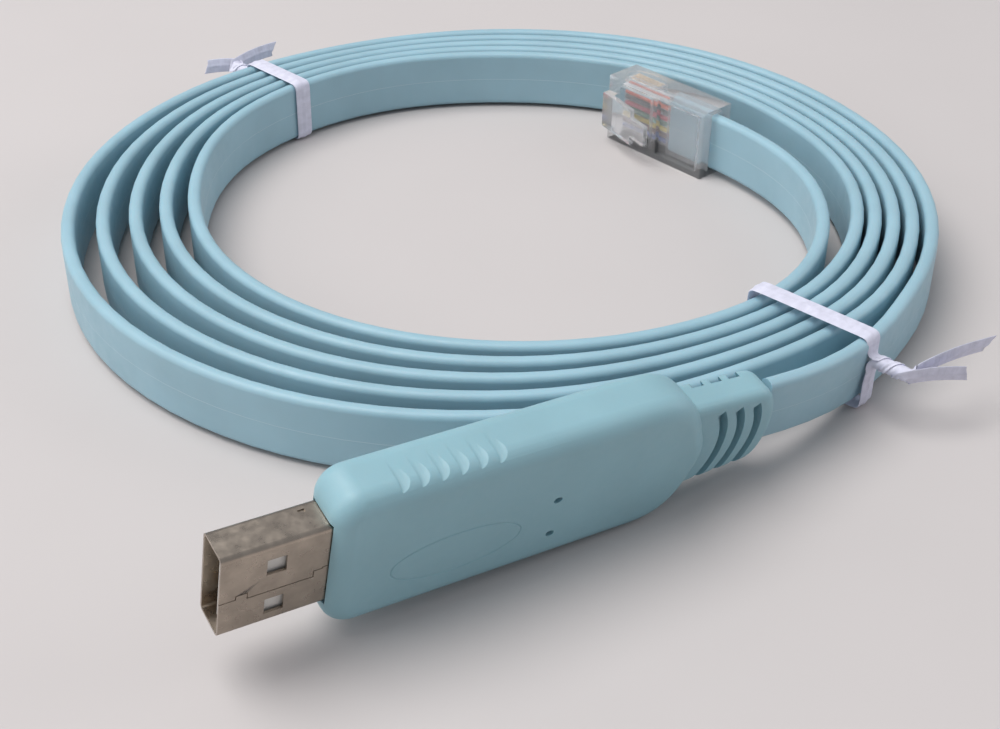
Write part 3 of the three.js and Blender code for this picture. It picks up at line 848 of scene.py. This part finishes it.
def rj45_shell():
    """Clear body with its latch, the two recesses on the latch side and the low oval boss"""
    body = copy_of("rj45_body", "rj45_plug_body", rj_place)
    face = RJ_THICKNESS / 2
    wires_recess = block("recess", WIRES_RECESS, (WIRES_RECESS_MIDDLE, face, 0))
    jacket_recess = block("recess", JACKET_RECESS, (JACKET_RECESS_MIDDLE, face, 0))
    combined(body, [gathered([wires_recess, jacket_recess])], "DIFFERENCE")
    only(None)
    bpy.ops.mesh.primitive_cylinder_add(
        vertices=40, radius=1, depth=BOSS_THICKNESS, location=BOSS_MIDDLE, scale=BOSS_HALVES)
    boss = added("boss")
    combined(body, [boss], "UNION")
    bevelled(body, 0.14, 2, angle=40)
    return smoothed(body, 35)


rj_body = set_in_place(rj45_shell(), rj_place, clear_plastic(), ["rj45_body"])


# Twist ties
def eased(values, passes):
    """Softens the corners of a list of points or numbers, its ends kept"""
    rows = np.array(values, float)
    for _ in range(passes):
        rows[1:-1] = rows[:-2] * 0.25 + rows[1:-1] * 0.5 + rows[2:] * 0.25
    return rows


def straight(start, end, steps):
    """Evenly spaced points from the start up to just before the end"""
    start = Vector(start)
    end = Vector(end)
    return [start + (end - start) * (k / steps) for k in range(steps)]


def tie_reach(angle):
    """Innermost and outermost reach and highest top of the turns that pass an angle"""
    outwards = Vector((math.cos(math.radians(angle)), math.sin(math.radians(angle)), 0))
    reaches = []
    tops = []
    passing = (PLUG_ANGLE - angle) % 360
    while passing <= TURNED:
        for side in (-1, 0, 1):
            sideways = math.degrees(side * TIE_WIDTH / 2 / round_the_coil(CORE_RADIUS, angle))
            point = coil_point(min(max(passing + sideways, 0), TURNED))
            reaches.append(point.dot(outwards))
            tops.append(point.z + CABLE_WIDTH / 2)
        passing += 360
    half = CABLE_THICKNESS / 2
    return min(reaches) - half, max(reaches) + half, max(tops)


def tie_outline():
    """Paper strip with a wire down its middle"""
    half = TIE_WIDTH / 2
    right = [(half - TIE_EDGE_ROUND, TIE_EDGE_HALF), (TIE_RIDGE_FOOT, TIE_EDGE_HALF),
             (TIE_RIDGE_SHOULDER, TIE_RIDGE_HALF * 0.8)]
    left = [(-x, y) for x, y in reversed(right)]
    upper = [(half, 0), *right, (0, TIE_RIDGE_HALF), *left]
    return upper + [(-x, -y) for x, y in upper]


def tail_places(tip, root, bend, steps):
    """From a tail's tip to the knot, bowed a little"""
    places = straight(tip, root, steps)
    return [place + bend * math.sin(math.pi * k / steps) for k, place in enumerate(places)]


def knot_half(phase, start, height, outward):
    """One strip's half of the twist: its middle line, and the way across it at each point"""
    points = []
    acrosses = []
    for k in range(KNOT_STEPS + 1):
        share = k / KNOT_STEPS
        along = share if outward else 1 - share
        around = phase + 2 * math.pi * KNOT_TURNS * along
        points.append(Vector((KNOT_RADIUS * math.cos(around), start + KNOT_LENGTH * along,
                              height + KNOT_RADIUS * math.sin(around))))
        acrosses.append(Vector((-math.sin(around), 0, math.cos(around))))
    return points, acrosses


def round_the_turns(face, low, high, height):
    """Points of the strip from the knot over the turns and back under them, and its width's share there"""
    drift = TIE_DRIFT
    near = face - TIE_CORNER
    far = -near
    top = high - TIE_CORNER
    bottom = low + TIE_CORNER
    # Each straight run starts a little past the corner before it
    past = 0.5

    def corner(x, y, z, start):
        return [Vector((x, *point)) for point in arc((y, z), TIE_CORNER, start, start + 90, 5)]

    return [
        (straight((drift, face, height + ABOVE_KNOT), (drift, face, top), 4), TIE_SHARE_AT_KNOT),
        (corner(drift, near, top, 0), 1),
        (straight((drift, near - past, high), (2 * drift, far, high), 12), 1),
        (corner(2 * drift, far, top, 90), 1),
        (straight((2 * drift, -face, top - past), (drift, -face, bottom), 10), 1),
        (corner(drift, far, bottom, 180), 1),
        (straight((0, far + past, low), (-drift, near, low), 12), 1),
        (corner(-drift, near, bottom, 270), 1),
        (straight((-drift, face, bottom + 0.8 * past), (-drift, face, height - BELOW_KNOT), 6),
         TIE_SHARE_AT_KNOT),
    ]


def twist_tie(name, angle, tails):
    """One strip: a tail, its half of the twist, once round the turns, the other half and tail"""
    innermost, outermost, top = tie_reach(angle)
    heading = angle - 90
    gap = TIE_CLEARANCE + TIE_THICKNESS / 2
    face = (outermost - innermost) / 2 + gap
    height = CABLE_MIDDLE + CABLE_WIDTH / 4
    low = TIE_THICKNESS / 2 + TIE_OFF_FLOOR
    knot_start = face + KNOT_STAND_OFF
    knot_end = knot_start + KNOT_LENGTH
    upper, upper_acrosses = knot_half(math.pi / 2, knot_start, height, outward=False)
    lower, lower_acrosses = knot_half(-math.pi / 2, knot_start, height, outward=True)
    upright = Vector((0, 0.2, 1)).normalized()
    strip = []

    def tail_points(tail, root, steps):
        turn = math.radians(tail["heading"] - heading)
        tip = Vector((math.cos(turn), math.sin(turn), 0)) * tail["length"] + Vector(
            (0, knot_end, height + tail["lift"]))
        return tail_places(tip, root, Vector((0, 0, tail["bow"])), steps)

    for point in tail_points(tails[0], upper[0], TAIL_STEPS[0]):
        strip.append((point, upright, KNOT_STRIP_SHARE))
    for point, across in zip(upper, upper_acrosses):
        strip.append((point, across, KNOT_STRIP_SHARE))
    for points, share in round_the_turns(face, low, top + gap, height):
        strip += [(point, Vector((-1, 0, 0)), share) for point in points]
    for point, across in zip(lower, lower_acrosses):
        strip.append((point, -across, KNOT_STRIP_SHARE))
    for point in reversed(tail_points(tails[1], lower[-1], TAIL_STEPS[1])):
        strip.append((point, -upright, KNOT_STRIP_SHARE))

    places, acrosses, shares = zip(*strip)
    soft_places = [Vector(row) for row in eased(places, 2)]
    soft_acrosses = [Vector(row).normalized() for row in eased(acrosses, 5)]
    soft_shares = [float(value) for value in eased(shares, 3)]
    # The two ends are cut at a slant
    slants = [0.0] * len(strip)
    slants[0] = -0.8
    slants[-1] = 0.5
    tie = swept(name, soft_places, soft_acrosses, tie_outline(), scales=soft_shares, slants=slants)
    outwards = Vector((math.cos(math.radians(angle)), math.sin(math.radians(angle)), 0))
    place = (coil_place @ Matrix.Translation(outwards * ((innermost + outermost) / 2))
             @ Matrix.Rotation(math.radians(heading), 4, "Z"))
    return smoothed(tie, 50), place


FRONT_TIE_ANGLE = -43
REAR_TIE_ANGLE = 135
paper = paper_tie()
front_tails = [
    {"length": 13.0, "heading": 28, "lift": 1.0, "bow": 0.5},
    {"length": 8.0, "heading": 11, "lift": -0.6, "bow": 0.3},
]
rear_tails = [
    {"length": 8.0, "heading": 40, "lift": 1.2, "bow": 0.4},
    {"length": 5.0, "heading": 190, "lift": 0.2, "bow": 0.2},
]
front_tie, front_place = twist_tie("paper_tie_front", FRONT_TIE_ANGLE, front_tails)
set_in_place(front_tie, front_place, paper, ["twist_tie_front"])
rear_tie, rear_place = twist_tie("paper_tie_rear", REAR_TIE_ANGLE, rear_tails)
set_in_place(rear_tie, rear_place, paper, ["twist_tie_rear"])

# The CAD pieces that are right as they are
WIRE_COLOURS = {
    "wire_blue": (0.03, 0.08, 0.34),
    "wire_brown": (0.14, 0.045, 0.03),
    "wire_yellow": (0.72, 0.55, 0.05),
    "wire_green": (0.05, 0.2, 0.11),
    "wire_red": (0.55, 0.02, 0.06),
    "wire_black": (0.015, 0.015, 0.018),
    "wire_orange": (0.75, 0.13, 0.05),
    "wire_white": (0.62, 0.6, 0.58),
}


def refinish(node, finish):
    """Gives a CAD node that stays a procedural finish"""
    obj = frame["nodes"][node]
    for slot in obj.material_slots:
        slot.link = "OBJECT"
        slot.material = finish


insulator = white_insulator()
gold = gold_plate()
refinish("usb_tongue", insulator)
for number in range(1, 5):
    refinish(f"usb_contact_{number}", gold)
for number, (slot_name, colour) in enumerate(WIRE_COLOURS.items(), 1):
    refinish(f"rj45_blade_{number}", gold)
    refinish(f"rj45_wire_{number}", wire_insulation(slot_name, colour))


# Floor and lights
def floor_and_lights():
    only(None)
    bpy.ops.mesh.primitive_plane_add(size=4)
    floor = added("floor")
    finish = Finish("floor_paper", (0.56, 0.525, 0.515), 0.9)
    finish.tint(finish.noise(30, 2), 0.01)
    floor.data.materials.append(finish.material)
    lamps = [
        ("key", (-0.4, 0.0, 0.95), 0.9, 10.0, (1.0, 0.99, 0.98)),
        ("left_fill", (-0.9, -0.25, 0.45), 0.7, 2.0, (0.97, 0.98, 1.0)),
        ("right_fill", (0.95, 0.2, 0.4), 0.7, 2.0, (0.97, 0.98, 1.0)),
    ]
    for name, place, size, power, colour in lamps:
        only(None)
        bpy.ops.object.light_add(type="AREA", location=place)
        lamp = bpy.context.object
        lamp.name = name
        lamp.data.shape = "DISK"
        lamp.data.size = size
        lamp.data.energy = power
        lamp.data.color = colour
        lamp.rotation_euler = (-Vector(place)).to_track_quat("-Z", "Y").to_euler()
    world = bpy.data.worlds.new("studio")
    world.use_nodes = True
    background = world.node_tree.nodes["Background"]
    background.inputs["Color"].default_value = (0.9, 0.93, 1.0, 1)
    background.inputs["Strength"].default_value = 0.38
    bpy.context.scene.world = world
    bpy.context.scene.view_settings.view_transform = "Standard"


floor_and_lights()
